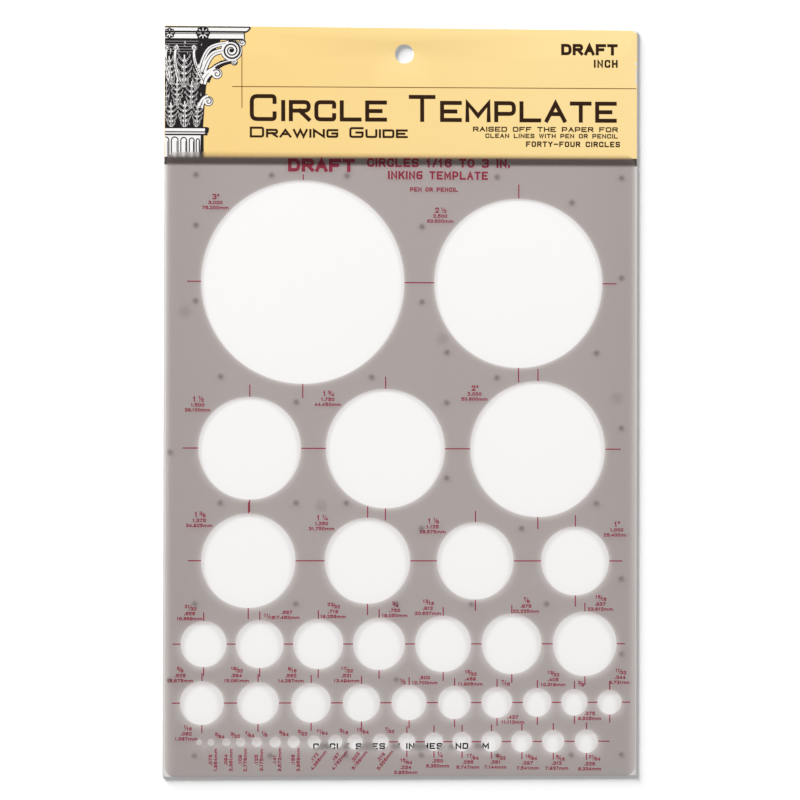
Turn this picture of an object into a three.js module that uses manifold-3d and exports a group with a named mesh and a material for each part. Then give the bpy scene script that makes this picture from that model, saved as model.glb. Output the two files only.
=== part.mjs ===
// A see-through plastic circle template on its hanging card.
// Millimetres, +Z up. The card lies flat with its back on z = 0 and its middle on x = y = 0.
// +Y points to the hang hole, +X to the reader's right.
import * as THREE from "three";
import { mergeVertices } from "three/addons/utils/BufferGeometryUtils.js";
import Module from "manifold-3d";

const wasm = await Module();
wasm.setup();

const INCH = 25.4;

// Backing card: paperboard with square corners and one round hang hole near its top edge.
const CARD = { width: 7.0625 * INCH, height: 11.125 * INCH, thickness: 0.6 };
const HANG_HOLE = { radius: 3.6, fromTop: 9.8, fromMiddle: 0.9, segments: 40 };

// Template: one plastic sheet. Its lower edge is flush with the card's lower edge.
const SHEET = { width: 7 * INCH, height: 9.25 * INCH, thickness: 1, cornerRadius: 4 };

// Each hole is cut larger than the circle it draws, because the pen's barrel runs inside it.
const PEN_ALLOWANCE = 0.3;

// Risers are bumps pressed down out of the sheet, on a square grid. They hold the sheet's
// edges off the paper so that ink can't creep under them.
const RISER = { radius: 1.1, tipRadius: 0.8, drop: 1.3, segments: 8 };
const RISER_GRID = { pitch: 9.5, fromLeft: 1.6, fromTop: 8.6 };

// The glue dots hold the sheet to the card and peel away when it is unpacked.
const GLUE_DOT = { radius: 2.1, segments: 16 };
const CONTACT_GAP = 0.05;

// Rows of holes, from the top: distance of the row's centre line from the sheet's top edge,
// land between the sheet's left edge and the first hole, the diameters drawn in 64ths of
// an inch, and the land between each hole and the next.
const ROWS = [
  { fromTop: 48.8, firstLand: 13.1, segments: 64, sizes: [192, 160], lands: [11.3] },
  { fromTop: 111.5, firstLand: 12.2, segments: 48, sizes: [96, 112, 128], lands: [9.4, 9.6] },
  { fromTop: 153.8, firstLand: 13.4, segments: 40, sizes: [88, 80, 72, 64], lands: [11, 10.1, 10.4] },
  {
    fromTop: 185.1,
    firstLand: 5.8,
    segments: 32,
    sizes: [42, 44, 46, 48, 52, 56, 60],
    lands: [3.4, 3.6, 3.7, 3.8, 4, 4.2],
  },
  {
    fromTop: 207.2,
    firstLand: 5.6,
    segments: 24,
    sizes: [40, 38, 36, 34, 32, 30, 28, 26, 24, 22],
    lands: [5, 4.7, 4.5, 4.3, 4.3, 4, 4, 3.6, 3.7],
  },
  {
    fromTop: 221.9,
    firstLand: 11.7,
    segments: 16,
    sizes: [4, 5, 6, 7, 8, 9, 10, 11, 12, 13, 14, 15, 16, 17, 18, 19, 20, 21],
    lands: [2.1, 3, 2.2, 2.5, 2.9, 2.6, 3, 2.8, 1.9, 3.7, 3.5, 3.5, 3.5, 3.6, 3.6, 3.6, 3.9],
  },
];

// Grid cells that hold a riser, as [row, columns]: the cells with plastic left around them.
const RISERS = [
  [0, [1, 4, 7, 13, 18]],
  [1, [16]],
  [2, [1, 10]],
  [4, [18]],
  [5, [1, 10]],
  [7, [11, 17]],
  [8, [2, 8, 13]],
  [9, [5, 11]],
  [10, [18]],
  [11, [0]],
  [12, [11]],
  [13, [2, 5, 7, 17]],
  [14, [10, 14]],
  [16, [18]],
  [17, [1, 5, 9, 12, 15]],
  [19, [18]],
  [20, [0, 9]],
  [23, [1, 4, 7, 10, 13, 16, 18]],
];

// Glue dots lie under broad lands of the sheet, as [from the sheet's left edge, from its top].
const GLUE_DOTS = [
  [7, 60],
  [104.4, 69.8],
  [171, 92],
  [58.6, 133],
];

const COLOURS = {
  card: { color: 0xf4f2f0, roughness: 0.55, metalness: 0 },
  plastic: { color: 0xa69e9c, roughness: 0.3, metalness: 0 },
  glue: { color: 0xe6e4dc, roughness: 0.25, metalness: 0 },
};

const cardTop = CARD.thickness;
const sheetUnder = cardTop + CONTACT_GAP + RISER.drop;
const sheetLeft = -SHEET.width / 2;
const sheetTopEdge = SHEET.height - CARD.height / 2;

// A point on the sheet from its distances to the sheet's left and top edges.
function onSheet(fromLeft, fromTop) {
  return new THREE.Vector2(sheetLeft + fromLeft, sheetTopEdge - fromTop);
}

function circlePath(centre, radius, segments) {
  const path = new THREE.Path();
  for (let i = 0; i < segments; i++) {
    const turn = (2 * Math.PI * i) / segments;
    const x = centre.x + radius * Math.cos(turn);
    const y = centre.y + radius * Math.sin(turn);
    if (i === 0) path.moveTo(x, y);
    else path.lineTo(x, y);
  }
  path.closePath();
  return path;
}

function roundedRectangle(left, bottom, width, height, radius) {
  const shape = new THREE.Shape();
  const right = left + width;
  const top = bottom + height;
  shape.absarc(right - radius, top - radius, radius, 0, Math.PI / 2);
  shape.absarc(left + radius, top - radius, radius, Math.PI / 2, Math.PI);
  shape.absarc(left + radius, bottom + radius, radius, Math.PI, 1.5 * Math.PI);
  shape.absarc(right - radius, bottom + radius, radius, 1.5 * Math.PI, 2 * Math.PI);
  return shape;
}

// The holes of one row, placed from left to right by their lands.
function rowHoles(row) {
  let edge = row.firstLand;
  return row.sizes.map((size, i) => {
    const radius = (size / 64) * (INCH / 2) + PEN_ALLOWANCE;
    const centre = onSheet(edge + radius, row.fromTop);
    edge += 2 * radius + (row.lands[i] ?? 0);
    return { centre, radius, segments: row.segments };
  });
}

function toSolid(geometry) {
  const plain = geometry.clone();
  plain.deleteAttribute("normal");
  plain.deleteAttribute("uv");
  const merged = mergeVertices(plain, 1e-4);
  const vertProperties = new Float32Array(merged.attributes.position.array);
  const triVerts = new Uint32Array(merged.index.array);
  return new wasm.Manifold(new wasm.Mesh({ numProp: 3, vertProperties, triVerts }));
}

function toGeometry(solid) {
  const mesh = solid.getMesh();
  const geometry = new THREE.BufferGeometry();
  geometry.setAttribute("position", new THREE.BufferAttribute(mesh.vertProperties, 3));
  geometry.setIndex(new THREE.BufferAttribute(mesh.triVerts, 1));
  geometry.computeVertexNormals();
  return geometry;
}

function standingCone(centre, lowRadius, highRadius, low, high, segments) {
  const geometry = new THREE.CylinderGeometry(highRadius, lowRadius, high - low, segments);
  geometry.rotateX(Math.PI / 2);
  geometry.translate(centre.x, centre.y, (low + high) / 2);
  return geometry;
}

function riserCentres() {
  return RISERS.flatMap(([row, columns]) =>
    columns.map((column) =>
      onSheet(
        RISER_GRID.fromLeft + column * RISER_GRID.pitch,
        RISER_GRID.fromTop + row * RISER_GRID.pitch,
      ),
    ),
  );
}

function makeMesh(name, geometry, colours) {
  const mesh = new THREE.Mesh(geometry, new THREE.MeshStandardMaterial(colours));
  mesh.name = name;
  return mesh;
}

function backingCard() {
  const shape = new THREE.Shape();
  shape.moveTo(-CARD.width / 2, -CARD.height / 2);
  shape.lineTo(CARD.width / 2, -CARD.height / 2);
  shape.lineTo(CARD.width / 2, CARD.height / 2);
  shape.lineTo(-CARD.width / 2, CARD.height / 2);
  const centre = new THREE.Vector2(HANG_HOLE.fromMiddle, CARD.height / 2 - HANG_HOLE.fromTop);
  shape.holes.push(circlePath(centre, HANG_HOLE.radius, HANG_HOLE.segments));
  const geometry = new THREE.ExtrudeGeometry(shape, { depth: CARD.thickness, bevelEnabled: false });
  return makeMesh("backing_card", geometry, COLOURS.card);
}

function templateSheet() {
  const shape = roundedRectangle(
    sheetLeft,
    sheetTopEdge - SHEET.height,
    SHEET.width,
    SHEET.height,
    SHEET.cornerRadius,
  );
  for (const hole of ROWS.flatMap(rowHoles)) {
    shape.holes.push(circlePath(hole.centre, hole.radius, hole.segments));
  }
  const flat = new THREE.ExtrudeGeometry(shape, {
    depth: SHEET.thickness,
    bevelEnabled: false,
    curveSegments: 6,
  });
  flat.translate(0, 0, sheetUnder);
  let solid = toSolid(flat);
  for (const centre of riserCentres()) {
    const bump = standingCone(
      centre,
      RISER.tipRadius,
      RISER.radius,
      sheetUnder - RISER.drop,
      sheetUnder + SHEET.thickness / 3,
      RISER.segments,
    );
    solid = solid.add(toSolid(bump));
  }
  return makeMesh("template_sheet", toGeometry(solid), COLOURS.plastic);
}

function glueDot([fromLeft, fromTop], number) {
  const centre = onSheet(fromLeft, fromTop);
  const low = cardTop + CONTACT_GAP;
  const high = sheetUnder - CONTACT_GAP;
  const geometry = standingCone(
    centre,
    GLUE_DOT.radius,
    GLUE_DOT.radius,
    low,
    high,
    GLUE_DOT.segments,
  );
  return makeMesh(`glue_dot_${number}`, geometry, COLOURS.glue);
}

const circleTemplate = new THREE.Group();
circleTemplate.name = "circle_template";
circleTemplate.add(backingCard());
circleTemplate.add(templateSheet());
GLUE_DOTS.forEach((place, i) => circleTemplate.add(glueDot(place, i + 1)));

export default circleTemplate;
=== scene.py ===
import math
import random

import bmesh
import bpy
from mathutils import Matrix, Vector, geometry


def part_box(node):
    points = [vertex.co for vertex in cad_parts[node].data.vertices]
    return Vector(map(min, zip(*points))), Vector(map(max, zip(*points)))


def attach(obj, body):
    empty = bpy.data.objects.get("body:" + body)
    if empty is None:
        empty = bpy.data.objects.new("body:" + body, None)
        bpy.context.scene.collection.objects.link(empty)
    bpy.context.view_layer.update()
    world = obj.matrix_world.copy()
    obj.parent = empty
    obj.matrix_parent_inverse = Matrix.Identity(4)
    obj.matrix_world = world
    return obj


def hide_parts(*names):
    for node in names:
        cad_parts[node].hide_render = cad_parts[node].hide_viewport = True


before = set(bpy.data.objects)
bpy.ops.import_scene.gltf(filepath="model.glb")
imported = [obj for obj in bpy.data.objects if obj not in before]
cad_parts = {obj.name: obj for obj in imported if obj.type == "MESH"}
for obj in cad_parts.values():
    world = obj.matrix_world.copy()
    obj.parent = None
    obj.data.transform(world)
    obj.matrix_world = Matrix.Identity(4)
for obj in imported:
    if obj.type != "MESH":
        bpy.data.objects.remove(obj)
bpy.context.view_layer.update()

# A see-through circle template on its printed hanging card, lying on a pale floor.
# The frame gives the size and place of the card, the sheet, its holes and its risers.
# What is made here is the fine surface: eased edges, pressed risers, printing, paper and plastic.

MM = 0.001
INCH = 25.4 * MM
SHEET = "template_sheet"
CARD = "backing_card"
GLUE_DOTS = sorted(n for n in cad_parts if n.startswith("glue_dot"))

card_low, card_high = (Vector(c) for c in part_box(CARD))
sheet_low, sheet_high = (Vector(c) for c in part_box(SHEET))

PEN_ALLOWANCE = 0.3 * MM
CORNER_RADIUS = 4 * MM


# ---- reading the frame


def heights(node):
    """The heights at which a flat CAD solid has faces, lowest first."""
    mesh = bpy.data.objects[node].data
    found = {round(p.center.z, 6) for p in mesh.polygons if abs(p.normal.z) > 0.99}
    return sorted(found)


def rims(node, height):
    """Centre and radius of each round rim where a level face at this height ends."""
    bm = bmesh.new()
    bm.from_mesh(bpy.data.objects[node].data)
    bmesh.ops.remove_doubles(bm, verts=bm.verts, dist=1e-7)
    ahead = {}
    for edge in bm.edges:
        if any(abs(v.co.z - height) > 1e-6 for v in edge.verts):
            continue
        if {abs(round(f.normal.z)) for f in edge.link_faces} == {0, 1}:
            first, last = edge.verts
            ahead.setdefault(first.index, []).append(last)
            ahead.setdefault(last.index, []).append(first)
    found, seen = [], set()
    bm.verts.ensure_lookup_table()
    for start in ahead:
        if start in seen:
            continue
        loop, waiting = [], [start]
        while waiting:
            i = waiting.pop()
            if i in seen:
                continue
            seen.add(i)
            loop.append(bm.verts[i].co.xy.copy())
            waiting += [v.index for v in ahead[i]]
        centre = sum(loop, Vector((0, 0))) / len(loop)
        reach = [(p - centre).length for p in loop]
        if max(reach) - min(reach) < 0.01 * MM:
            found.append((centre, sum(reach) / len(reach)))
    bm.free()
    return found


def tip_centres(node):
    """Middle of each lowest face, where a riser stands on the card."""
    mesh = bpy.data.objects[node].data
    lowest = min(v.co.z for v in mesh.vertices)
    spots = []
    for v in mesh.vertices:
        if v.co.z - lowest > 1e-6:
            continue
        at = v.co.xy
        near = next((s for s in spots if (s[0] - at).length < 2 * MM), None)
        if near is None:
            spots.append([at.copy(), [at.copy()]])
        else:
            near[1].append(at.copy())
    return [sum(points, Vector((0, 0))) / len(points) for _, points in spots]


tip_z, under_z, top_z = heights(SHEET)
HOLES = rims(SHEET, top_z)
RISERS = tip_centres(SHEET)
HANG_HOLE = rims(CARD, card_high.z)[0]
card_top = card_high.z


def size_of(radius):
    """The circle that a hole draws, in 64ths of an inch."""
    return round((radius - PEN_ALLOWANCE) * 2 / INCH * 64)


HOLE_OF = {size_of(radius): (centre, radius) for centre, radius in HOLES}


# ---- stage, lights and camera

CAMERA_AIM = Vector((-0.61, 0.51, 2.4)) * MM
CAMERA_DISTANCE = 1.6688
CAMERA_LENS = 199
SENSOR_WIDTH = 36
LEAN_LEFT = math.radians(5.0)
LEAN_BELOW = math.radians(0.95)
CAMERA_TWIST = math.radians(-0.135)


def place_new(name, data):
    """A new object in the scene."""
    made = bpy.data.objects.new(name, data)
    bpy.context.scene.collection.objects.link(made)
    return made


def look_at(thing, target):
    thing.rotation_euler = (Vector(target) - thing.location).to_track_quat("-Z", "Y").to_euler()


def add_camera():
    """A long lens high over the object, a little to its left and below its middle."""
    data = bpy.data.cameras.new("camera")
    data.lens = CAMERA_LENS
    data.sensor_width = SENSOR_WIDTH
    camera = place_new("camera", data)
    away = Vector((-math.tan(LEAN_LEFT), -math.tan(LEAN_BELOW), 1)).normalized()
    camera.location = CAMERA_AIM + away * CAMERA_DISTANCE
    up = Vector((math.sin(CAMERA_TWIST), math.cos(CAMERA_TWIST), 0))
    across = (-away).cross(up).normalized()
    up = across.cross(-away)
    camera.rotation_euler = Matrix((across, up, away)).transposed().to_euler()
    bpy.context.scene.camera = camera


def linked(name, things, state):
    """A collection that tells a light which things it reaches, or which it misses."""
    group = bpy.data.collections.new(name)
    for thing in things:
        group.objects.link(thing)
    for entry in group.collection_objects:
        entry.light_linking.link_state = state
    return group


def add_light(name, kind, place, power):
    data = bpy.data.lights.new(name, kind)
    data.energy = power
    light = place_new(name, data)
    light.location = place
    light.visible_camera = False
    look_at(light, (0, 0, 0))
    return light


SIDE_LIGHT_OUT = 1.15
SIDE_LIGHT_BEYOND = 0.9
SIDE_LIGHT_HEIGHT = 1.75
SIDE_LIGHT_SIZE = 0.65
LEFT_POWER = 28
RIGHT_POWER = 20.7
LOW_SUN_PLACE = (-0.85, 1.15, 0.23)
LOW_SUN_POWER = 14.3
LOW_SUN_WIDTH = math.radians(24)
FLOOR_FILL_POWER = 0.35
SKY_STRENGTH = 0.3
FLOOR_HALF = 3.0
FLOOR_GAP = 0.02 * MM


def add_lights(floor, card):
    """Two soft side lights beyond the header, two suns for the floor alone, and a weak sky."""
    for name, side, power in (("left_light", -1, LEFT_POWER), ("right_light", 1, RIGHT_POWER)):
        place = (side * SIDE_LIGHT_OUT, SIDE_LIGHT_BEYOND, SIDE_LIGHT_HEIGHT)
        light = add_light(name, "AREA", place, power)
        light.data.size = SIDE_LIGHT_SIZE
        light.light_linking.receiver_collection = linked(name + "_misses", [floor], "EXCLUDE")
    floor_only = linked("floor_only", [floor], "INCLUDE")
    low = add_light("floor_light", "SUN", LOW_SUN_PLACE, LOW_SUN_POWER)
    low.data.angle = LOW_SUN_WIDTH
    low.light_linking.receiver_collection = floor_only
    low.light_linking.blocker_collection = linked("card_only", [card], "INCLUDE")
    fill = add_light("floor_fill", "SUN", (0, 0, 1), FLOOR_FILL_POWER)
    fill.light_linking.receiver_collection = floor_only
    bpy.context.scene.world = white_world()
    bpy.context.scene.view_settings.view_transform = "Standard"


def white_world():
    """A weak even sky that looks plain white where it is seen past the floor."""
    world = bpy.data.worlds.new("world")
    world.use_nodes = True
    tree = world.node_tree
    sky = tree.nodes["Background"]
    sky.inputs["Color"].default_value = (1, 1, 1, 1)
    path = tree.nodes.new("ShaderNodeLightPath")
    strength = tree.nodes.new("ShaderNodeMapRange")
    strength.inputs["To Min"].default_value = SKY_STRENGTH
    tree.links.new(path.outputs["Is Camera Ray"], strength.inputs["Value"])
    tree.links.new(strength.outputs["Result"], sky.inputs["Strength"])
    return world


def add_floor():
    mesh = bpy.data.meshes.new("floor")
    corners = [(x * FLOOR_HALF, y * FLOOR_HALF, 0) for x, y in ((-1, -1), (1, -1), (1, 1), (-1, 1))]
    mesh.from_pydata(corners, [], [(0, 1, 2, 3)])
    floor = place_new("floor", mesh)
    floor.location.z = -FLOOR_GAP
    mesh.materials.append(floor_material())
    return floor


# ---- materials


# Where the print has rubbed off: a short length of the right edge, and the corner above it.
WEAR_DEPTH = 0.9 * MM
WEAR_FROM_TOP = 16.5 * MM
WEAR_HALF_LENGTH = 4.2 * MM
CORNER_WEAR = 2.2 * MM


class Nodes:
    """A small helper that adds and joins shader nodes."""

    def __init__(self, name):
        self.material = bpy.data.materials.new(name)
        self.material.use_nodes = True
        self.tree = self.material.node_tree
        self.tree.nodes.clear()
        self.output = self.tree.nodes.new("ShaderNodeOutputMaterial")
        self.place = self.add("ShaderNodeTexCoord").outputs["Object"]

    def add(self, kind, settings=None, **inputs):
        node = self.tree.nodes.new(kind)
        for name, value in (settings or {}).items():
            setattr(node, name, value)
        for name, value in inputs.items():
            self.feed(node, name.replace("_", " "), value)
        return node

    def feed(self, node, name, value):
        socket = node.inputs[int(name)] if name.isdigit() else node.inputs[name]
        if isinstance(value, bpy.types.Node):
            value = value.outputs[0]
        if isinstance(value, bpy.types.NodeSocket):
            self.tree.links.new(value, socket)
        elif isinstance(value, (tuple, list)) and len(value) == 3 and socket.type == "RGBA":
            socket.default_value = (*value, 1)
        else:
            socket.default_value = value

    def fed(self, kind, settings, *values):
        """The first output of a new node that takes its values in order."""
        node = self.add(kind, settings)
        for i, value in enumerate(values):
            self.feed(node, str(i), value)
        return node.outputs[0]

    def math(self, operation, a, b=0.0, c=0.0):
        return self.fed("ShaderNodeMath", {"operation": operation}, a, b, c)

    def noise(self, scale, detail=3.0, roughness=0.5):
        look = {"Scale": scale, "Detail": detail, "Roughness": roughness}
        return self.add("ShaderNodeTexNoise", Vector=self.place, **look).outputs["Fac"]

    def mix(self, share, a, b, blend="MIX"):
        node = self.add("ShaderNodeMix", {"data_type": "RGBA", "blend_type": blend})
        self.feed(node, "0", share)
        self.feed(node, "6", a)
        self.feed(node, "7", b)
        return node.outputs[2]

    def spread(self, value, low, high, to_low=0.0, to_high=1.0):
        return self.fed("ShaderNodeMapRange", None, value, low, high, to_low, to_high)

    def bump(self, height, strength, distance):
        node = self.add("ShaderNodeBump", Height=height, Strength=strength, Distance=distance)
        return node.outputs["Normal"]

    def join(self, share, first, second):
        """Two shaders mixed: share 0 gives the first, 1 the second."""
        return self.fed("ShaderNodeMixShader", None, share, first, second)

    def unworn(self, x, y):
        """0 where the print has rubbed off, 1 elsewhere."""
        ragged = self.spread(self.noise(600, 3), 0.35, 0.65, 0.0, WEAR_DEPTH)
        inward = self.math("SUBTRACT", card_high.x, x)
        kept = self.math("GREATER_THAN", inward, ragged)
        middle = card_high.y - WEAR_FROM_TOP
        away = self.math("ABSOLUTE", self.math("SUBTRACT", y, middle))
        beyond = self.math("GREATER_THAN", away, WEAR_HALF_LENGTH)
        downward = self.math("SUBTRACT", card_high.y, y)
        corner = self.math("ADD", self.math("ADD", inward, downward), ragged)
        off_corner = self.math("GREATER_THAN", corner, CORNER_WEAR)
        return self.math("MULTIPLY", self.math("MAXIMUM", kept, beyond), off_corner)

    def paint(self, colour, roughness, **more):
        """The plain surface shader."""
        return self.add("ShaderNodeBsdfPrincipled", Base_Color=colour, Roughness=roughness, **more)

    def finish(self, shader):
        self.feed(self.output, "Surface", shader)
        return self.material


def srgb(red, green, blue):
    """A picture colour, 0 to 255, as the linear colour that shaders take."""
    def linear(v):
        v /= 255
        return v / 12.92 if v <= 0.04045 else ((v + 0.055) / 1.055) ** 2.4
    return (linear(red), linear(green), linear(blue))


def floor_material():
    n = Nodes("floor")
    tone = n.mix(n.noise(3.0), (0.90, 0.90, 0.90), (0.93, 0.93, 0.93))
    return n.finish(n.paint(tone, 0.7))


# The header's printing is turned a little against the card's cut edges.
PRINT_TURN = math.radians(0.25)
PRINT_PIVOT = Vector((card_low.x, card_high.y - 49.5 * MM))
BAND_HEIGHT = 2.95 * MM


def card_material():
    """Coated white board with a yellow header and a dark brown band printed on its face."""
    n = Nodes("coated_paperboard")
    place = n.add("ShaderNodeSeparateXYZ", Vector=n.place)
    x, y, z = (place.outputs[axis] for axis in "XYZ")
    fibres = n.noise(900, 4, 0.6)
    cloud = n.noise(14, 2)
    speck = n.noise(2600, 2)
    white = n.mix(cloud, srgb(246, 245, 244), srgb(248, 247, 246))
    # Along the card's left and right edges the white darkens: painted shade next to the sheet's side
    # edges.
    half_width = (card_high.x - card_low.x) / 2
    from_side = n.math("SUBTRACT", half_width, n.math("ABSOLUTE", x))
    margin = n.spread(from_side, 0.2 * MM, 1.3 * MM)
    white = n.mix(margin, srgb(224, 220, 217), white)
    side = n.spread(x, card_low.x + 25 * MM, card_high.x - 30 * MM)
    yellow = n.mix(side, srgb(246, 211, 134), srgb(249, 219, 150))
    yellow = n.mix(n.math("MULTIPLY", speck, 0.14), yellow, srgb(240, 202, 128))
    brown = n.mix(fibres, srgb(38, 25, 12), srgb(48, 33, 20))
    rise = n.math("SUBTRACT", x, PRINT_PIVOT.x)
    rise = n.math("MULTIPLY", rise, math.tan(PRINT_TURN))
    level = n.math("SUBTRACT", n.math("SUBTRACT", y, PRINT_PIVOT.y), rise)
    above_band = n.spread(level, -0.05 * MM, 0.05 * MM)
    above_low = n.spread(level, -BAND_HEIGHT - 0.05 * MM, -BAND_HEIGHT + 0.05 * MM)
    on_face = n.math("GREATER_THAN", z, card_top - 0.03 * MM)
    printed = n.mix(above_band, brown, yellow)
    share = n.math("MULTIPLY", n.math("MULTIPLY", above_low, on_face), n.unworn(x, y))
    colour = n.mix(share, white, printed)
    roughness = n.spread(fibres, 0.3, 0.7, 0.42, 0.55)
    return n.finish(n.paint(colour, roughness, Normal=n.bump(fibres, 0.06, 0.00005)))


def sheet_material():
    """Smoky matt plastic that blurs what lies under it. Other light passes straight on.

    It is darker round each riser, partly where it is pressed down and partly as painted shade. It is
    paler at its sides
    and top edge and round its holes: painted light standing in for light that leaks out of it."""
    n = Nodes("smoky_plastic")
    film = n.noise(1200, 3, 0.6)
    wave = n.noise(22, 2)
    place = n.add("ShaderNodeSeparateXYZ", Vector=n.place)
    x, y = place.outputs["X"], place.outputs["Y"]
    half_width = (sheet_high.x - sheet_low.x) / 2
    from_side = n.math("SUBTRACT", half_width, n.math("ABSOLUTE", x))
    from_top = n.math("SUBTRACT", sheet_high.y, y)
    # Painted light: the sheet turns paler near its sides, its top edge and its holes, and hazes less
    # there.
    side_glow = n.spread(from_side, 0, 1.5 * MM, 0.4, 0)
    top_glow = n.spread(from_top, 0, 2.4 * MM, 1, 0)
    leak = n.add("ShaderNodeAttribute", {"attribute_name": PAINTED_LEAK}).outputs["Fac"]
    hole_glow = n.math("MULTIPLY", leak, PAINTED_LEAK_GLOW)
    painted_light = n.math("MAXIMUM", n.math("MAXIMUM", side_glow, top_glow), hole_glow)
    # Darker round each riser: partly the pressed plastic, partly painted shade.
    pressed = n.add("ShaderNodeAttribute", {"attribute_name": PRESSED_AND_SHADED}).outputs["Fac"]
    tint = n.mix(n.spread(from_side, 0, 25 * MM), (0.874, 0.852, 0.848), (0.892, 0.871, 0.868))
    tint = n.mix(painted_light, tint, (1, 0.99, 0.98))
    tint = n.mix(pressed, tint, (0.7, 0.67, 0.66))
    frosted = n.add("ShaderNodeBsdfRefraction", Color=tint, Roughness=1.0, IOR=1.5)
    clear = n.add("ShaderNodeBsdfTransparent", Color=tint)
    seen = n.add("ShaderNodeLightPath").outputs["Is Camera Ray"]
    passing = n.join(seen, clear, frosted)
    body = n.mix(wave, (0.25, 0.22, 0.2), (0.29, 0.25, 0.23))
    body = n.mix(pressed, body, (0.16, 0.14, 0.13))
    haze = n.paint(body, 0.35, Normal=n.bump(film, 0.15, 0.00004))
    return n.finish(n.join(n.spread(painted_light, 0, 1, 0.14, 0.03), passing, haze))


def sheet_ink_material():
    """Crimson ink that works like a filter, so it goes dark over a dark ground.

    The light that it passes down to the card is spread by the plastic and stays pale."""
    n = Nodes("crimson_ink")
    grain = n.noise(3500, 2)
    filtered = n.add("ShaderNodeBsdfTransparent", Color=(0.70, 0.12, 0.20))
    spread = n.add("ShaderNodeBsdfTransparent", Color=(0.9, 0.74, 0.78))
    seen = n.add("ShaderNodeLightPath").outputs["Is Camera Ray"]
    clear = n.join(seen, spread, filtered)
    crimson = n.mix(grain, (0.22, 0.05, 0.07), (0.28, 0.07, 0.09))
    body = n.paint(crimson, 0.6, Specular_IOR_Level=0.1)
    return n.finish(n.join(0.08, clear, body))


def card_ink_material(name, colour, paler):
    n = Nodes(name)
    grain = n.noise(2400, 3)
    colour = n.mix(n.spread(grain, 0.45, 0.75), colour, paler)
    return n.finish(n.paint(colour, 0.7, Specular_IOR_Level=0.1))


def glue_material():
    n = Nodes("clear_glue")
    lumps = n.noise(700, 2)
    clear = n.add("ShaderNodeBsdfTransparent", Color=(0.97, 0.97, 0.96))
    colour = n.mix(lumps, (0.8, 0.79, 0.76), (0.9, 0.89, 0.86))
    body = n.paint(colour, 0.2, Normal=n.bump(lumps, 0.3, 0.0002))
    return n.finish(n.join(0.06, clear, body))


# ---- flat pieces with eased edges


def circle(centre, radius, count):
    return [
        centre + Vector((math.cos(a), math.sin(a))) * radius
        for a in (2 * math.pi * i / count for i in range(count))
    ]


def rounded_outline(low, high, radius, steps):
    """Corner-rounded rectangle, anticlockwise."""
    corners = [
        (high.x - radius, high.y - radius, 0),
        (low.x + radius, high.y - radius, 1),
        (low.x + radius, low.y + radius, 2),
        (high.x - radius, low.y + radius, 3),
    ]
    points = []
    for x, y, quarter in corners:
        for i in range(steps + 1):
            a = math.pi / 2 * (quarter + i / steps)
            points.append(Vector((x + radius * math.cos(a), y + radius * math.sin(a))))
    return points


def rim_count(radius):
    """Enough sides for a rim to look round: about one every 0.6 mm, 32 to 160."""
    return int(min(160, max(32, 2 * math.pi * radius / (0.6 * MM))))


class Lamina:
    """A flat closed piece with round holes and eased edges."""

    def __init__(self, low, high, corner, holes, z_low, z_high, ease):
        self.low, self.high, self.corner = low, high, corner
        self.holes = holes
        self.z_low, self.z_high, self.ease = z_low, z_high, ease

    def loops(self, inset):
        """The outline and the hole rims, each moved into the material by the inset."""
        shrink = Vector((inset, inset))
        radius = max(self.corner - inset, 0.02 * MM)
        outline = rounded_outline(self.low + shrink, self.high - shrink, radius, 8)
        rings = [circle(c, r + inset, rim_count(r)) for c, r in self.holes]
        return [outline, *rings]

    def inside(self, point, margin):
        """True if a point is on material, at least a margin from every edge."""
        if not self.low.x + margin < point.x < self.high.x - margin:
            return False
        if not self.low.y + margin < point.y < self.high.y - margin:
            return False
        core_x = min(max(point.x, self.low.x + self.corner), self.high.x - self.corner)
        core_y = min(max(point.y, self.low.y + self.corner), self.high.y - self.corner)
        in_corner = core_x != point.x and core_y != point.y
        if in_corner and math.hypot(point.x - core_x, point.y - core_y) > self.corner - margin:
            return False
        return all((point - c).length > r + margin for c, r in self.holes)

    def build(self, name, extra, top_shape, under_shape):
        """The closed mesh. extra holds points inside; the shapes give each face's own relief."""
        flat = self.loops(self.ease)
        points = [p for loop in flat for p in loop]
        edges = []
        start = 0
        for loop in flat:
            count = len(loop)
            edges += [(start + i, start + (i + 1) % count) for i in range(count)]
            start += count
        rim_total = len(points)
        points = points + extra
        made = geometry.delaunay_2d_cdt(points, edges, [], 0, 1e-9)
        source = [o[0] for o in made[3]]
        faces = []
        for face in made[2]:
            centre = sum((made[0][i] for i in face), Vector((0, 0))) / 3
            if self.inside(centre, self.ease):
                faces.append([source[i] for i in face])
        count = len(points)
        vertices = [(p.x, p.y, self.z_high + top_shape(p)) for p in points]
        vertices += [(p.x, p.y, self.z_low + under_shape(p)) for p in points]
        polygons = [tuple(f) for f in faces]
        polygons += [tuple(count + i for i in reversed(f)) for f in faces]
        ease = self.ease
        profile = [
            (0.3 * ease, self.z_high - 0.3 * ease),
            (0, self.z_high - ease),
            (0, self.z_low + ease),
            (0.3 * ease, self.z_low + 0.3 * ease),
        ]
        rings = [list(range(rim_total))]
        for inset, z in profile:
            base = len(vertices)
            for p in (p for loop in self.loops(inset) for p in loop):
                vertices.append((p.x, p.y, z + top_shape(p)))
            rings.append(list(range(base, base + rim_total)))
        rings.append(list(range(count, count + rim_total)))
        for upper, lower in zip(rings, rings[1:]):
            for i, j in edges:
                polygons.append((upper[j], upper[i], lower[i], lower[j]))
        mesh = bpy.data.meshes.new(name)
        mesh.from_pydata(vertices, [], polygons)
        bm = bmesh.new()
        bm.from_mesh(mesh)
        bmesh.ops.recalc_face_normals(bm, faces=bm.faces)
        bm.to_mesh(mesh)
        bm.free()
        for polygon in mesh.polygons:
            polygon.use_smooth = True
        mesh.set_sharp_from_angle(angle=math.radians(50))
        return place_new(name, mesh)


GRID_MARGIN = 2 * MM
CARD_GRID = 12 * MM
CARD_CORNER = 0.25 * MM
CARD_EASE = 0.05 * MM


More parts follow.
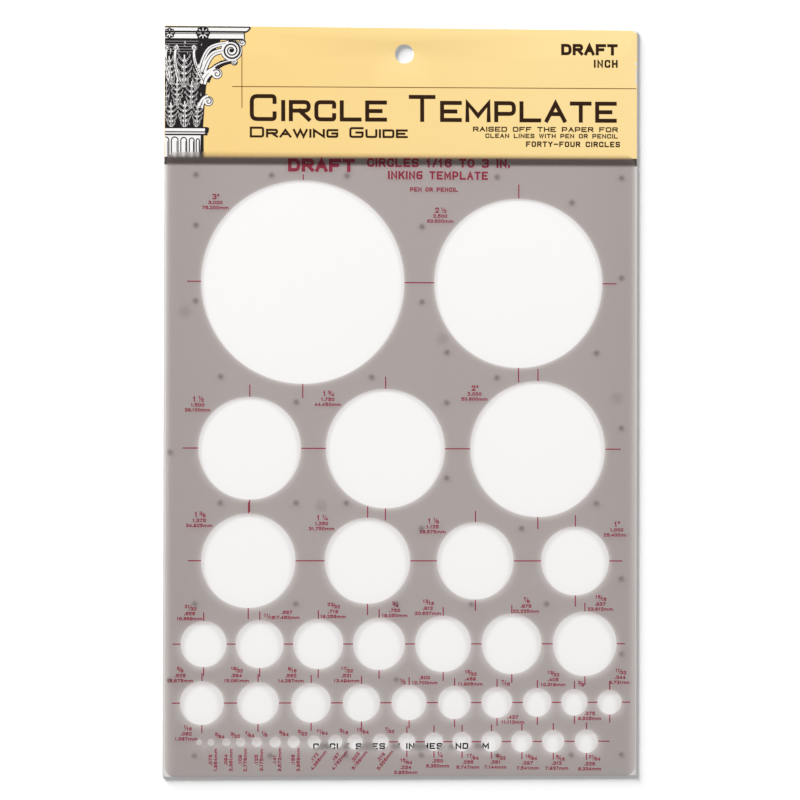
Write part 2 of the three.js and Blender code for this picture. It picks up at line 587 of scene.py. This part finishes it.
def grid_points(lamina, pitch, margin):
    points = []
    x = lamina.low.x + pitch / 2
    while x < lamina.high.x:
        y = lamina.low.y + pitch / 2
        while y < lamina.high.y:
            p = Vector((x, y))
            if lamina.inside(p, margin):
                points.append(p)
            y += pitch
        x += pitch
    return points


# ---- the sheet

# Attributes the sheet's shader reads: pressed darkens it round the risers, partly as painted shade;
# leak is painted light round the holes.
PRESSED_AND_SHADED = "pressed"
PAINTED_LEAK = "leak"
PAINTED_LEAK_GLOW = 0.35
SHEET_EASE = 0.09 * MM
RISER_REACH = 1.35 * MM
DIMPLE_DEPTH = 0.5 * MM
TOP_SINK = 0.6 * MM
END_LIFT = 1.7 * MM
SHEET_GRID = 5 * MM
RISER_ROOM = 2 * MM
EDGE_ROOM = 0.25 * MM
RIM_RING_SHARES = (0.33, 0.66, 1)
RISER_RING_SHARES = (0.2, 0.4, 0.6, 0.8, 1.0, 1.25)


def bow(point):
    """The sheet bows: nearer the card at its upper end and lifted off it at its lower end."""
    along = (sheet_high.y - point.y) / (sheet_high.y - sheet_low.y)
    return END_LIFT * along ** 2 - TOP_SINK


def nearest_riser(point):
    return min((point - c).length for c in RISERS)


def dome(distance):
    """1 at a riser's middle, falling smoothly to 0 at its reach."""
    t = min(distance / RISER_REACH, 1)
    return (1 - t * t) ** 2


def sheet_top_shape(point):
    return bow(point) - DIMPLE_DEPTH * dome(nearest_riser(point))


def sheet_under_shape(point):
    room = under_z + bow(point) - card_top - 0.1 * MM
    return bow(point) - min(under_z - tip_z, room) * dome(nearest_riser(point))


def leak_reach(centre, radius):
    """How far the painted light reaches from a hole's rim: further where the sheet stands higher."""
    return min(0.7 * MM + 0.5 * max(bow(centre), 0), 0.35 * radius)


def leak_at(point):
    """1 at a hole's rim, falling to 0 where the painted light ends."""
    left = max(1 - ((point - c).length - r) / leak_reach(c, r) for c, r in HOLES)
    return min(1, max(0, left))


def make_sheet():
    lamina = Lamina(
        sheet_low.xy, sheet_high.xy, CORNER_RADIUS, HOLES, under_z, top_z, SHEET_EASE
    )
    spots = grid_points(lamina, SHEET_GRID, GRID_MARGIN)
    for centre, radius in HOLES:
        for share in RIM_RING_SHARES:
            reach = radius + leak_reach(centre, radius) * share
            ring = circle(centre, reach, rim_count(radius))
            spots += [p for p in ring if lamina.inside(p, EDGE_ROOM)]
    extra = [p for p in spots if nearest_riser(p) > RISER_ROOM]
    for centre in RISERS:
        extra.append(centre.copy())
        for share in RISER_RING_SHARES:
            ring = circle(centre, RISER_REACH * share, 16)
            extra += [p for p in ring if lamina.inside(p, EDGE_ROOM)]
    piece = lamina.build("smoky_sheet", extra, sheet_top_shape, sheet_under_shape)
    # Per point: how far into a riser's darkening, partly painted shade, and how far into the painted
    # light round the holes.
    pressed = piece.data.attributes.new(PRESSED_AND_SHADED, "FLOAT", "POINT")
    leak = piece.data.attributes.new(PAINTED_LEAK, "FLOAT", "POINT")
    for i, vertex in enumerate(piece.data.vertices):
        pressed.data[i].value = dome(nearest_riser(vertex.co.xy) * 0.8)
        leak.data[i].value = leak_at(vertex.co.xy)
    piece.data.materials.append(sheet_material())
    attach(piece, "template")
    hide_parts(SHEET)


# ---- the card


def make_card():
    lamina = Lamina(
        card_low.xy, card_high.xy, CARD_CORNER, [HANG_HOLE], card_low.z, card_high.z, CARD_EASE
    )
    extra = grid_points(lamina, CARD_GRID, GRID_MARGIN)
    piece = lamina.build("printed_card", extra, lambda p: 0.0, lambda p: 0.0)
    piece.data.materials.append(card_material())
    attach(piece, "card")
    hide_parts(CARD)
    return piece


# ---- printing

# Letters and figures as pen strokes on a grid: columns a to e across, rows 0 to 8 up.
# A capital letter rounds that corner off, and "=" closes the stroke. Only what is printed is here.
GLYPHS = {
    "A": "a0c8e0 b3d3", "C": "e6E8A8A0E0e2", "D": "a0a8E8E0a0", "E": "e8a8a0e0 a4d4",
    "F": "e8a8a0 a4d4", "G": "e8A8A0E0e4c4", "H": "a0a8 e0e8 a4e4", "I": "a0a8",
    "K": "a0a8 e8a3 c5e0", "L": "a8a0e0", "M": "a0a8c2e8e0", "N": "a0a8e0e8", "O": "A0A8E8E0=",
    "P": "a0a8E8E3a3", "R": "a0a8E8E4a4 c4e0", "S": "e7E8A8A4E4E0A0a1", "T": "a8e8 c8c0",
    "U": "a8A0E0e8", "W": "a8b0c8d0e8", "Y": "a8c4e8 c4c0", "Z": "a8e8a0e0", "0": "A0A8E8E0=",
    "1": "a6c8c0", "2": "a6A8E8E5a0e0", "3": "a7A8E8E4c4 c4E4E0A0a1", "4": "d0d8a2e2",
    "5": "e8a8a5E5E0A0a1", "6": "e7E8A8A0E0E5a5", "7": "a8e8b0", "8": "A4A8E8E4= A4E4E0A0=",
    "9": "a1A0E0E8A8A3e3", "m": "a0a5C5c0 c5E5e0", "/": "a0e8", "-": "a4e4", ".": "a0a1",
    '"': "a8a6 c8c6",
}
WIDTHS = {"I": 0, ".": 0, "1": 0.55, "/": 0.6, '"': 0.5, "m": 1.9, "M": 1.2, "W": 1.3, " ": 0.6}


class Hand:
    """A way of lettering: letter width, stroke, gap and corner rounding, each per cap height."""

    def __init__(self, width, stroke, gap, rounding):
        self.width, self.stroke, self.gap, self.rounding = width, stroke, gap, rounding

    def fixed(self, heights_of_letters, cap):
        """The part of a line's length that doesn't change with the letters' width."""
        gaps = sum(heights_of_letters[:-1]) * self.gap
        return gaps + len(heights_of_letters) * self.stroke * cap

    def fitted(self, words, sizes, length):
        """The same hand with letters as wide as makes the words fill a length."""
        flexible = sum(WIDTHS.get(c, 1) * size for c, size in zip(words, sizes))
        width = (length - self.fixed(sizes, max(sizes))) / flexible
        return Hand(width, self.stroke, self.gap, self.rounding)

    def strokes(self, letter, stroke):
        """Each stroke's points, for a cap height of 1, and whether it is closed.

        The ends of an open stroke run on by half the stroke's width."""
        wide, rim = self.width * WIDTHS.get(letter, 1), stroke / 2
        for code in GLYPHS.get(letter, "").split():
            closed = code.endswith("=")
            marks = code.rstrip("=")
            path = []
            for column, row in zip(marks[::2], marks[1::2]):
                x = rim + wide * "abcde".index(column.lower()) / 4
                y = rim + (1 - 2 * rim) * int(row) / 8
                path.append((Vector((x, y)), column.isupper()))
            points = self.eased(path)
            if not closed:
                points[0] = points[0] + (points[0] - points[1]).normalized() * rim
                points[-1] = points[-1] + (points[-1] - points[-2]).normalized() * rim
            yield points, closed

    def eased(self, path):
        """The path with its marked corners rounded off."""
        points = []
        for i, (p, soft) in enumerate(path):
            if not soft:
                points.append(p)
                continue
            before = path[i - 1][0] - p
            after = path[(i + 1) % len(path)][0] - p
            cut = min(self.rounding, before.length * 0.48, after.length * 0.48)
            start = p + before.normalized() * cut
            end = p + after.normalized() * cut
            for t in (0, 0.25, 0.5, 0.75, 1):
                points.append(start * (1 - t) ** 2 + p * 2 * t * (1 - t) + end * t ** 2)
        return points


TITLE_HAND = Hand(0.9, 0.15, 0.17, 0.2)
SUBTITLE_HAND = Hand(0.9, 0.2, 0.17, 0.16)
SMALL_HAND = Hand(0.7, 0.23, 0.2, 0.16)
BOLD_HAND = Hand(0.5, 0.23, 0.14, 0.3)
LOGO_HAND = Hand(0.5, 0.27, 0.1, 0.3)
SIZE_HAND = Hand(0.54, 0.26, 0.12, 0.3)


class Ink:
    """Printing gathered into one thin mesh on a surface. Nothing in it passes its left limit."""

    def __init__(self, surface, lift, turn=0.0, pivot=Vector((0, 0)), left=-math.inf):
        self.surface, self.lift, self.left = surface, lift, left
        self.turn, self.pivot = turn, pivot
        self.points, self.faces = [], []

    def add(self, points, triangles):
        """Triangles are kept facing up, whichever way round they come, if they have an area."""
        base = len(self.points)
        points = [Vector((max(p.x, self.left), p.y)) for p in points]
        self.points += points
        for i, j, k in triangles:
            turned = (points[j] - points[i]).cross(points[k] - points[i]) / MM ** 2
            if abs(turned) > 1e-5:
                self.faces.append([base + n for n in ((i, j, k) if turned > 0 else (i, k, j))])

    def bar(self, x0, y0, x1, y1):
        corners = [Vector(c) for c in ((x0, y0), (x1, y0), (x1, y1), (x0, y1))]
        self.add(corners, [(0, 1, 2), (0, 2, 3)])

    def fill(self, outline):
        triangles = geometry.tessellate_polygon([[p.to_3d() for p in outline]])
        self.add(list(outline), triangles)

    def disc(self, centre, radius, count=24):
        self.fill(circle(centre, radius, count))

    def join(self, first_point=0, first_face=0):
        """Turn the faces added since then into one layer without overlaps."""
        points = [p / MM for p in self.points[first_point:]]
        faces = [[i - first_point for i in face] for face in self.faces[first_face:]]
        joined = geometry.delaunay_2d_cdt(points, [], faces, 1, 1e-5)
        self.points[first_point:] = [p * MM for p in joined[0]]
        covered = [face for face, sources in zip(joined[2], joined[5]) if sources]
        self.faces[first_face:] = [[i + first_point for i in face] for face in covered]

    def ribbon(self, path, width, closed=False, tip=None):
        """A stroke along a path, of even width or tapering to a tip width."""
        count = len(path)
        sides = []
        for i, p in enumerate(path):
            ins = p - path[i - 1] if i or closed else None
            out = path[(i + 1) % count] - p if i < count - 1 or closed else None
            along = [v.normalized() for v in (ins, out) if v is not None]
            middle = sum(along, Vector((0, 0))).normalized()
            normal = Vector((-middle.y, middle.x))
            straight = Vector((-along[0].y, along[0].x))
            reach = width if tip is None else width + (tip - width) * i / (count - 1)
            reach /= 2 * max(0.45, normal.dot(straight))
            sides += [p + normal * reach, p - normal * reach]
        triangles = []
        for i in range(count if closed else count - 1):
            j = (i + 1) % count
            triangles.append((2 * i, 2 * i + 1, 2 * j + 1))
            triangles.append((2 * i, 2 * j + 1, 2 * j))
        self.add(sides, triangles)

    def write(self, words, at, cap, hand, align=0.5, turn=0.0, low_cap=None, length=None):
        """A line of lettering on a baseline through at. align 0 starts there and 1 ends there.

        With low_cap, only the first letter of each word has the full cap height. With length,
        the letters are made as wide as fills it."""
        first = [i == 0 or words[i - 1] == " " for i in range(len(words))]
        sizes = [cap if tall or low_cap is None else low_cap for tall in first]
        if length is not None:
            hand = hand.fitted(words, sizes, length)
        reaches = [hand.width * WIDTHS.get(c, 1) * size for c, size in zip(words, sizes)]
        pen = -(sum(reaches) + hand.fixed(sizes, cap)) * align
        along = Vector((math.cos(turn), math.sin(turn)))
        up = Vector((-along.y, along.x))
        for letter, size, reach in zip(words, sizes, reaches):
            before = len(self.points), len(self.faces)
            for path, closed in hand.strokes(letter, hand.stroke * cap / size):
                placed = [at + along * (pen + p.x * size) + up * p.y * size for p in path]
                self.ribbon(placed, hand.stroke * cap, closed)
            self.join(*before)
            pen += reach + hand.stroke * cap + hand.gap * size

    def make(self, name, material, body, slot):
        cos, sin = math.cos(self.turn), math.sin(self.turn)
        vertices = []
        for p in self.points:
            x, y = p - self.pivot
            q = self.pivot + Vector((x * cos - y * sin, x * sin + y * cos))
            vertices.append((q.x, q.y, self.surface(q) + self.lift))
        mesh = bpy.data.meshes.new(name)
        mesh.from_pydata(vertices, [], self.faces)
        mesh.validate()
        mesh.materials.append(material)
        piece = place_new(name, mesh)
        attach(piece, body)


def sheet_surface(point):
    return top_z + bow(point)


def card_surface(point):
    return card_top


# Cap heights of the fraction's figures, the whole inches, and the two lines below them.
FIGURE_CAP = 1.3 * MM
WHOLE_CAP = 2.1 * MM
DECIMAL_CAP = 1.35 * MM
METRIC_CAP = 1.3 * MM
LINE_WIDTH = 0.45 * MM
FIRST_DROP = 2.2 * MM
SECOND_DROP = 1.9 * MM


def mark_fraction(ink, size, place):
    """The size as whole inches with an inch mark, a mixed number or a fraction, centred."""
    whole, rest = divmod(size, 64)
    if not rest:
        ink.write(f'{whole}"', place - Vector((0, WHOLE_CAP / 2)), WHOLE_CAP, BOLD_HAND)
        return
    shared = math.gcd(rest, 64)
    top, bottom = str(rest // shared), str(64 // shared)
    x, y = place
    if whole:
        left = Vector((x - 1.5 * MM, y - WHOLE_CAP / 2))
        ink.write(str(whole), left, WHOLE_CAP, BOLD_HAND)
        x += 0.9 * MM
    top_end = Vector((x - 0.15 * MM, y - 0.15 * MM))
    low_start = Vector((x + 0.15 * MM, y - 1.05 * MM))
    ink.write(top, top_end, FIGURE_CAP, SIZE_HAND, 1)
    ink.write(bottom, low_start, FIGURE_CAP, SIZE_HAND, 0)
    slash_low = Vector((x - 0.55 * MM, y - 0.95 * MM))
    slash_high = Vector((x + 0.55 * MM, y + 1 * MM))
    ink.ribbon([slash_low, slash_high], 0.22 * MM)


def thousandths(value):
    """Three decimals, with an exact half rounded down."""
    return f"{math.ceil(value * 1000 - 0.5 - 1e-6) / 1000:.3f}"


def mark_lines(ink, size, place, turn=0.0):
    """The size in decimal inches and in millimetres, the first line centred on a place."""
    down = Vector((math.sin(turn), -math.cos(turn)))
    inches = thousandths(size / 64).lstrip("0")
    metric = thousandths(size / 64 * 25.4) + "mm"
    ink.write(inches, place + down * DECIMAL_CAP / 2, DECIMAL_CAP, SIZE_HAND, 0.5, turn)
    under = place + down * (SECOND_DROP + METRIC_CAP / 2)
    ink.write(metric, under, METRIC_CAP, SIZE_HAND, 0.5, turn)


# Where the smaller holes' size marks stand, in mm, by the holes' sizes in 64ths of an inch.
# Beside a tick: how far the fraction stands to the side. Above the hole: the fraction's place
# from the hole's centre, with the lines under it. Apart: the fraction's place, then the lines'.
BESIDE_TICK = {42: -5.1, 46: 5.8, 48: 6.1, 52: -5.6, 56: 5.6, 60: 6.1}
ABOVE_HOLE = {
    40: (-8.2, 12.5), 38: (-8.1, 12.5), 36: (-7.6, 12.4), 34: (-5.6, 12.4),
    30: (6.0, 11.1), 26: (6.0, 10.8), 22: (4.0, 11.6), 4: (-4.8, 5.4), 15: (-0.4, -7.4),
}
APART = {
    44: ((3.4, 10.3), (10.2, 11.9)), 32: ((-2.5, 8.0), (5.9, 9.4)),
    28: ((2.8, 7.3), (6.0, -5.5)), 24: ((2.5, 7.0), (5.8, -4.2)),
    16: ((2.2, -4.9), (1.4, -7.2)), 17: ((3.9, -5.8), (2.2, -7.7)),
    18: ((3.0, -5.8), (1.5, -7.7)), 19: ((3.4, -6.0), (2.2, -8.1)),
    20: ((2.2, -6.3), (1.3, -8.2)), 21: ((2.9, -6.3), (1.2, -8.5)),
}
SLANT = math.radians(52)


def mark_sizes(ink):
    """Each hole's size, where the land around it leaves room."""
    for size, (centre, radius) in HOLE_OF.items():
        if size >= 64:
            side = 1 if size == 64 else -1
            out = radius / math.sqrt(2)
            across = out + (6.9 if size in (64, 160) else 5.65) * MM
            fraction = centre + Vector((side * across, out + 4.75 * MM))
            lines = fraction - Vector((0.3 * MM, FIRST_DROP))
        elif size in BESIDE_TICK:
            fraction = centre + Vector((BESIDE_TICK[size] * MM, radius + 5 * MM))
            lines = fraction - Vector((0.2 * MM, FIRST_DROP))
        elif size in ABOVE_HOLE:
            fraction = centre + Vector(ABOVE_HOLE[size]) * MM
            lines = fraction - Vector((0, FIRST_DROP))
        elif size in APART:
            fraction, lines = (centre + Vector(shift) * MM for shift in APART[size])
        else:
            fraction = centre + Vector((2.7 * MM, radius + 1.2 * MM))
            mark_fraction(ink, size, fraction)
            if size <= 10:
                mark_lines(ink, size, centre + Vector((-0.2, -6.6)) * MM, math.pi / 2)
            else:
                mark_lines(ink, size, centre + Vector((0.1, -5.7)) * MM, SLANT)
            continue
        mark_fraction(ink, size, fraction)
        mark_lines(ink, size, lines)


def rows_of_holes():
    """The holes grouped into rows, each from left to right."""
    rows = []
    for centre, radius in sorted(HOLES, key=lambda h: -h[0].y):
        if rows and abs(rows[-1][0][0].y - centre.y) < 1 * MM:
            rows[-1].append((centre, radius))
        else:
            rows.append([(centre, radius)])
    return [sorted(row, key=lambda h: h[0].x) for row in rows]


# How far each row's centre line runs on past its outer holes, and how long its ticks are.
ROW_ENDS = [5.3, 5.9, 5.0, 3.1, 3.1, 4.3]
ROW_TICKS = [5.4, 4.6, 4.3, 3.3, 3.0, 2.6]
# The smallest hole, the smallest with a line and ticks, and the largest.
SMALLEST = 4
FIRST_LINED = 14
LARGEST = 192


def mark_centres(ink):
    """Lines through each row's centres on the lands, and ticks above and below the holes."""
    half = LINE_WIDTH / 2
    for row, end, tick in zip(rows_of_holes(), ROW_ENDS, ROW_TICKS):
        whole_row = size_of(row[0][1]) > SMALLEST
        row = [h for h in row if size_of(h[1]) >= FIRST_LINED]
        y = row[0][0].y
        for (centre, radius), (after, wide) in zip(row, row[1:]):
            ink.bar(centre.x + radius, y - half, after.x - wide, y + half)
        left, right = row[0], row[-1]
        edge = right[0].x + right[1]
        ink.bar(edge, y - half, edge + end * MM, y + half)
        if whole_row:
            edge = left[0].x - left[1]
            ink.bar(edge - end * MM, y - half, edge, y + half)
        for centre, radius in row if whole_row else row[1:]:
            long = tick * MM
            up = long * 0.4 if size_of(radius) == LARGEST else long
            ink.bar(centre.x - half, centre.y + radius, centre.x + half, centre.y + radius + up)
            ink.bar(centre.x - half, centre.y - radius - long, centre.x + half, centre.y - radius)


def sheet_place(from_left, from_top):
    return Vector((sheet_low.x + from_left * MM, sheet_high.y - from_top * MM))


def print_sheet():
    ink = Ink(sheet_surface, 0.02 * MM)
    mark_centres(ink)
    mark_sizes(ink)
    # Plain generic words in place of a maker's heading.
    ink.write("DRAFT", sheet_place(45.7, 7.2), 5 * MM, LOGO_HAND, 0, length=25.3 * MM)
    heading = "CIRCLES 1/16 TO 3 IN."
    ink.write(heading, sheet_place(75.6, 5.2), 3.4 * MM, BOLD_HAND, 0, length=54.3 * MM)
    ink.write("INKING TEMPLATE", sheet_place(83.5, 9.8), 3.2 * MM, BOLD_HAND, 0, length=38 * MM)
    ink.write("PEN OR PENCIL", sheet_place(91.9, 14.4), 1.7 * MM, SIZE_HAND, 0, length=18.2 * MM)
    ink.make("sheet_printing", sheet_ink_material(), "template", "tinted_plastic")


def card_place(from_left, from_top):
    return Vector((card_low.x + from_left * MM, card_high.y - from_top * MM))


def card_path(*places):
    """Points on the card, each from its distances in mm to the card's left and top edges."""
    return [card_place(*place) for place in places]


def print_header():
    """Plain generic words and the fine cross lines."""
    ink = Ink(card_surface, 0.03 * MM, PRINT_TURN, PRINT_PIVOT)

    def line(words, left, right, baseline, cap, hand, low_cap=None):
        length = (right - left) * MM
        ink.write(words, card_place(left, baseline), cap, hand, 0, 0, low_cap, length)

    line("CIRCLE TEMPLATE", 32.2, 171.7, 35.9, 10.2 * MM, TITLE_HAND, 8 * MM)
    line("DRAWING GUIDE", 32.2, 92, 42.1, 4.1 * MM, SUBTITLE_HAND, 3.3 * MM)
    line("RAISED OFF THE PAPER FOR", 116.8, 172.1, 39.5, 1.9 * MM, SMALL_HAND)
    line("CLEAN LINES WITH PEN OR PENCIL", 121.5, 172.1, 41.9, 1.7 * MM, SMALL_HAND)
    line("FORTY-FOUR CIRCLES", 137, 172.9, 45.2, 2.1 * MM, SMALL_HAND)
    line("DRAFT", 150.5, 172.1, 10.3, 4.3 * MM, LOGO_HAND)
    line("INCH", 163, 172.1, 15.0, 3 * MM, SMALL_HAND)
    dark = card_ink_material("dark_brown_ink", srgb(44, 24, 10), srgb(60, 36, 18))
    ink.make("card_title", dark, "card", "paperboard")
    fine = card_ink_material("fine_brown_ink", srgb(112, 66, 26), srgb(132, 84, 42))
    lines = Ink(card_surface, 0.03 * MM, PRINT_TURN, PRINT_PIVOT)
    lines.ribbon(card_path((25.6, 22.9), (179.2, 22.9)), 0.3 * MM)
    lines.ribbon(card_path((29.25, 7.6), (29.25, 31.0)), 0.3 * MM)
    lines.make("card_cross_lines", fine, "card", "paperboard")


def print_foot(black):
    foot = Ink(card_surface, 0.03 * MM)
    words = "CIRCLE SIZES IN INCHES AND MM"
    foot.write(words, card_place(56.7, 272.5), 2.3 * MM, SMALL_HAND, 0, length=66.6 * MM)
    foot.make("card_foot_line", black, "card", "paperboard")


def bent(points, steps=6):
    """A smooth curve through the middle of a few corner points, as points along it."""
    path = [points[0]]
    for i in range(1, len(points) - 1):
        start = (points[i - 1] + points[i]) / 2 if i > 1 else points[0]
        last = i == len(points) - 2
        end = points[-1] if last else (points[i] + points[i + 1]) / 2
        for k in range(1, steps + 1):
            t = k / steps
            path.append(start * (1 - t) ** 2 + points[i] * 2 * t * (1 - t) + end * t ** 2)
    return path


def spiral(centre, radius, turns, start, spin=1):
    count = int(16 * turns)
    path = []
    for i in range(count + 1):
        a = start + spin * 2 * math.pi * i / 16
        path.append(centre + Vector((math.cos(a), math.sin(a))) * radius * (1 - 0.85 * i / count))
    return path


class ColumnPrint:
    """Four layers of ink, one over the other, that make up the column: paper white, then the
    dark of the shadows, then the lit parts, then the engraved lines."""

    def __init__(self, black):
        white = card_ink_material("white_ink", srgb(244, 242, 240), srgb(250, 249, 248))
        self.parts = []
        names = (("ground", white), ("shade", black), ("lights", white), ("lines", black))
        left = card_low.x + CARD_CORNER
        for level, (name, material) in enumerate(names):
            lift = (0.02 + 0.015 * level) * MM
            ink = Ink(card_surface, lift, PRINT_TURN, PRINT_PIVOT, left)
            setattr(self, name, ink)
            self.parts.append(("column_" + name, ink, material))

    def make(self):
        for name, ink, material in self.parts:
            ink.join()
            ink.make(name, material, "card", "paperboard")

    def leaf(self, base, tip, width, lobes=5):
        """A feathery leaf: pale lobes that curve up and out of a midrib, with dark edges."""
        along = tip - base
        across = Vector((-along.y, along.x)).normalized() * width / 2
        for i in range(lobes):
            t = i / lobes
            root = base + along * t
            spread = across * math.sin(math.pi * (0.2 + 0.65 * t))
            for side in (-1, 1):
                knee = root + spread * 0.9 * side + along * 0.05
                end = root + spread * 1.05 * side + along * 1.15 / lobes
                path = bent([root, knee, end], 5)
                self.lights.ribbon(path, 0.14 * width, tip=0.05 * width)
                self.lines.ribbon(path[1:], 0.07 * width, tip=0.02 * width)
        self.lights.ribbon(bent([base, base + along * 0.6, tip]), 0.16 * width, tip=0.08 * width)
        self.lines.ribbon([base, base + along * 0.85], 0.08 * width, tip=0.03 * width)

    def curl(self, centre, radius, turns, start, spin):
        self.lights.disc(centre, radius, 24)
        path = spiral(centre, radius * 0.93, turns, start, spin)
        self.lines.ribbon(path, 0.16 * radius + 0.14 * MM, tip=0.3 * MM)
        self.shade.disc(centre, radius + 0.3 * MM, 24)

    def stem(self, points, width, tip):
        """A pale band with a dark line down each side and a finer one within."""
        path = bent(points)
        self.shade.ribbon(path, width + 0.7 * MM, tip=tip + 0.7 * MM)
        self.lights.ribbon(path, width, tip=tip)
        self.lines.ribbon(path[:-2], 0.3 * MM, tip=0.15 * MM)


def column_slab(column):
    """A moulding over a plain band, with a rosette at its middle and one at the card's edge."""
    column.ground.fill(
        card_path((0, 0.2), (32.6, 0.2), (31.4, 1.9), (30.0, 2.5), (30.2, 5.2), (0, 5.2))
    )
    for height, end, width in ((0.5, 32.4, 0.5), (2.3, 30.6, 0.7), (3.0, 30, 0.25), (5.1, 29.6, 0.6)):
        column.lines.ribbon(card_path((0, height), (end, height)), width * MM)
    column.lines.ribbon(bent(card_path((32.5, 0.5), (31.9, 2.2), (30.0, 2.5))), 0.6 * MM)
    column.lines.ribbon(card_path((30.1, 2.5), (30.3, 5.2)), 0.4 * MM)
    for x, size in ((14.6, 2.5), (2.0, 1.9)):
        centre = card_place(x, 2.9)
        column.shade.disc(centre, size * MM)
        for i in range(8):
            a = math.pi * i / 4
            reach = Vector((math.cos(a), math.sin(a))) * size * MM
            column.shade.ribbon([centre, centre + reach * 1.1], 1.1 * MM, tip=0.6 * MM)
            petal = [centre + reach * 0.25, centre + reach * 0.85]
            column.lights.ribbon(petal, 0.5 * MM, tip=0.3 * MM)


def column_bell(column):
    """The dark bell with its leaves, scrolls and curls."""
    side = bent(card_path((21.5, 5), (17.5, 12), (15.8, 20), (14.6, 38.4)))
    column.shade.fill([card_place(0, 5), *side, card_place(0, 38.4)])
    column.stem(card_path((13.4, 17), (15.2, 9.2), (21, 6.7), (26.5, 6.3)), 1.5 * MM, 1.3 * MM)
    column.stem(card_path((14.6, 17.6), (16.6, 11.4), (21.4, 9.2), (25, 9.4)), 1.9 * MM, 1.5 * MM)
    scroll = card_place(25.3, 9.3)
    column.curl(scroll, 3.9 * MM, 2.6, math.pi * 0.6, -1)
    column.lines.disc(scroll, 0.8 * MM, 12)
    hollow = bent(card_path((15.6, 21), (18.5, 13.6), (26.6, 13.2)))
    column.shade.ribbon(hollow, 3 * MM, tip=1.8 * MM)
    gleam = bent(card_path((16.4, 18), (19, 13.9), (25.6, 13)))
    column.lights.ribbon(gleam, 0.6 * MM, tip=0.3 * MM)
    column.curl(card_place(29.4, 6.3), 1.1 * MM, 1.2, 0, 1)
    column.curl(card_place(26.4, 13.7), 1.0 * MM, 1.2, 0, -1)
    column.stem(card_path((14.6, 22), (15, 18), (19.4, 16.6)), 2.2 * MM, 2.4 * MM)
    column.curl(card_place(19.8, 18.1), 1.8 * MM, 1.3, math.pi * 0.8, -1)
    column.stem(card_path((13.6, 31), (14, 27.6), (16.6, 27)), 1.8 * MM, 1.9 * MM)
    column.curl(card_place(16.6, 28.5), 1.6 * MM, 1.3, math.pi * 0.8, -1)
    for x, spin, foot in ((11.4, -1, 3.4), (4.4, 1, 1.2), (0.9, -1, 1.2)):
        column.stem(card_path((x + foot, 21), (x - 1.2, 13), (x, 8.6)), 1.2 * MM, 0.7 * MM)
        column.curl(card_place(x, 8.3), 1.0 * MM, 1.2, math.pi / 2, spin)
    for x, low, high, width, lean in (
        (2.6, 22, 11.5, 4.6, -0.8), (7.4, 23, 11, 5.4, 0.2), (11.8, 24, 14.5, 3.6, 1.2),
        (4.8, 30, 20.5, 4.4, 0), (10, 31, 21, 4.6, 0.4), (0.7, 31, 21, 2.2, 0.2),
        (2.6, 38, 29, 4.8, -0.2), (7.6, 38, 28.5, 5, 0.1), (12.0, 38, 29, 4, 0.8),
    ):
        column.leaf(card_place(x, low), card_place(x + lean, high), width * MM)
    for i in range(5):
        height = 5.9 + i
        reach = 13 - 0.5 * i
        column.lights.ribbon(card_path((0.3, height), (reach, height)), 0.07 * MM)
    scatter = random.Random(7)
    for _ in range(90):
        x = scatter.uniform(0.4, 14.2)
        y = scatter.uniform(6, 37.6)
        tilt = scatter.uniform(-0.5, 0.5)
        rise = scatter.uniform(0.5, 1.2)
        tick = card_path((x, y), (x + tilt, y - rise))
        column.lights.ribbon(tick, 0.2 * MM, tip=0.08 * MM)


def column_shaft(column):
    """The ring, and the fluted shaft whose flutes stand closer towards its turned side."""
    top, ring, foot = 38.4, 41.1, 49.5
    column.ground.fill(card_path((0, top), (16.7, top), (16.2, ring), (0, ring)))
    for height, width in ((38.5, 0.5), (40.1, 0.45), (ring, 0.6)):
        column.lines.ribbon(card_path((0, height), (16.3, height)), width * MM)
    column.lines.fill(card_path((15.3, 38.3), (16.9, 38.5), (16.6, 40.4), (15.3, 41.3)))
    column.ground.fill(card_path((0, ring), (14.7, ring), (14.7, foot), (0, foot)))
    for middle, half in ((0.4, 1.3), (3.9, 1.25), (7.3, 1.1), (10.3, 0.9), (12.6, 0.6)):
        arch = [card_place(middle + half, foot)]
        for i in range(9):
            a = math.pi * i / 8
            arch.append(card_place(middle + half * math.cos(a), 43.3 - half * math.sin(a)))
        arch.append(card_place(middle - half, foot))
        on_card = [p for p in arch if p.x > card_low.x + 0.2 * MM]
        column.lines.ribbon(on_card, 0.4 * MM)
        inner = card_place(middle + half * 0.55, 0).x
        column.lines.bar(inner, card_place(0, foot).y, inner + 0.22 * MM, card_place(0, 43.6).y)
    column.lines.fill(card_path((13.7, 41.2), (14.8, 41.2), (14.8, foot), (13.4, foot)))


def print_card():
    print_header()
    black = card_ink_material("black_ink", srgb(30, 26, 28), srgb(52, 48, 50))
    print_foot(black)
    column = ColumnPrint(black)
    column_slab(column)
    column_bell(column)
    column_shaft(column)
    column.make()


def dress_glue():
    material = glue_material()
    for node in GLUE_DOTS:
        piece = bpy.data.objects[node]
        piece.data.materials.clear()
        piece.data.materials.append(material)


add_camera()
floor = add_floor()
card = make_card()
make_sheet()
print_card()
print_sheet()
dress_glue()
add_lights(floor, card)
